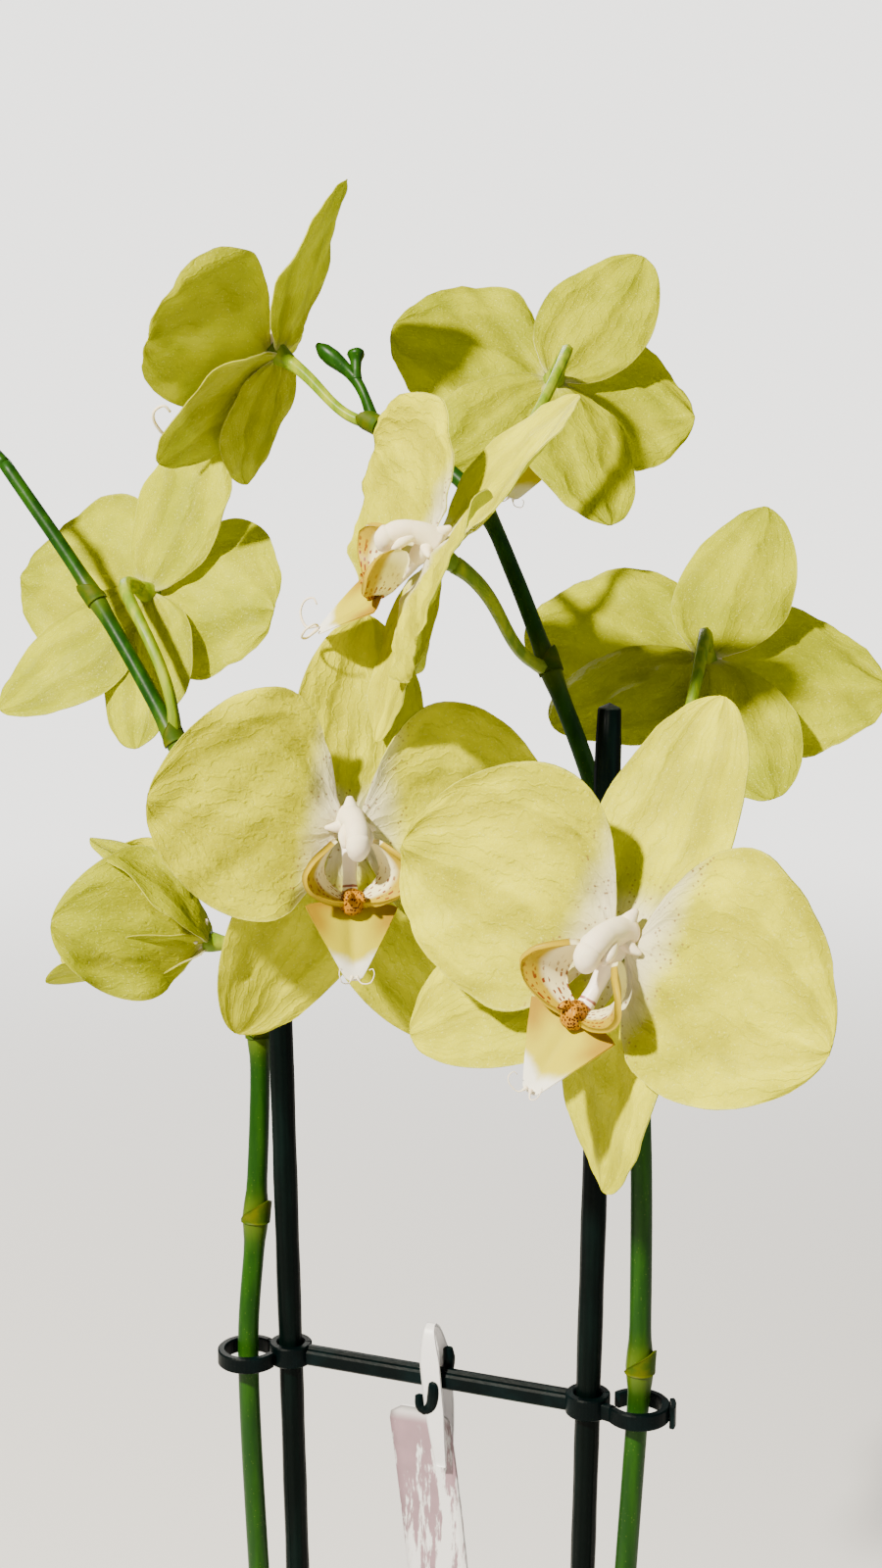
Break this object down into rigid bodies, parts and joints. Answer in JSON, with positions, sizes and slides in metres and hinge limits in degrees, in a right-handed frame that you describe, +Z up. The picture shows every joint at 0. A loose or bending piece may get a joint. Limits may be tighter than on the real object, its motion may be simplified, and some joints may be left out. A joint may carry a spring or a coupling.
{
  "type": "potted orchid",
  "caption": "Moth orchid with yellow flowers on two staked, clipped spikes, leathery leaves and aerial roots, in a clear growing pot inside a plain glazed cover pot",
  "frame": {"origin": "middle of the cover pot's flat underside, on the surface that it stands on", "axes": "+Z up along the pot's axis, +X to the right, -Y toward the front, where most flowers look"},
  "size_m": [0.2472, 0.3193, 0.6124],
  "materials": {
    "ceramic": "smooth off-white glaze",
    "clear_plastic": "clear, slightly milky thin plastic",
    "bark": "rough chips of pine bark",
    "leaf": "thick, waxy, semi-gloss dark green",
    "stem": "smooth waxy green",
    "root": "matt silver-green velamen",
    "stake": "ribbed very dark green",
    "clip": "satin dark blue-green",
    "tag": "white with brushed mauve print",
    "petal": "soft, translucent lemon yellow with a sparkling surface",
    "column": "waxy cream white",
    "lip": "glossy yellow to orange with a white tip and dark red spots"
  },
  "bodies": {
    "root": {"cover_pot": "ceramic", "nursery_pot": "clear_plastic", "bark_medium": "bark", "left_stake": "stake", "right_stake": "stake", "crown": "stem", "left_spike": "stem", "right_spike": "stem", "stake_clip": "clip", "hang_tag": "tag", "leaf_1": "leaf", "leaf_2": "leaf", "leaf_3": "leaf", "leaf_4": "leaf", "leaf_5": "leaf", "aerial_root_1": "root", "aerial_root_2": "root", "aerial_root_3": "root", "flower_1_sepals": "petal", "flower_1_petal_left": "petal", "flower_1_petal_right": "petal", "flower_1_column": "column", "flower_1_lip": "lip", "flower_2_sepals": "petal", "flower_2_petal_left": "petal", "flower_2_petal_right": "petal", "flower_2_column": "column", "flower_2_lip": "lip", "flower_3_sepals": "petal", "flower_3_petal_left": "petal", "flower_3_petal_right": "petal", "flower_3_column": "column", "flower_3_lip": "lip", "flower_4_sepals": "petal", "flower_4_petal_left": "petal", "flower_4_petal_right": "petal", "flower_4_column": "column", "flower_4_lip": "lip", "flower_5_sepals": "petal", "flower_5_petal_left": "petal", "flower_5_petal_right": "petal", "flower_5_column": "column", "flower_5_lip": "lip", "flower_6_sepals": "petal", "flower_6_petal_left": "petal", "flower_6_petal_right": "petal", "flower_6_column": "column", "flower_6_lip": "lip", "flower_7_sepals": "petal", "flower_7_petal_left": "petal", "flower_7_petal_right": "petal", "flower_7_column": "column", "flower_7_lip": "lip", "flower_8_sepals": "petal", "flower_8_petal_left": "petal", "flower_8_petal_right": "petal", "flower_8_column": "column", "flower_8_lip": "lip"}
  },
  "joints": []
}
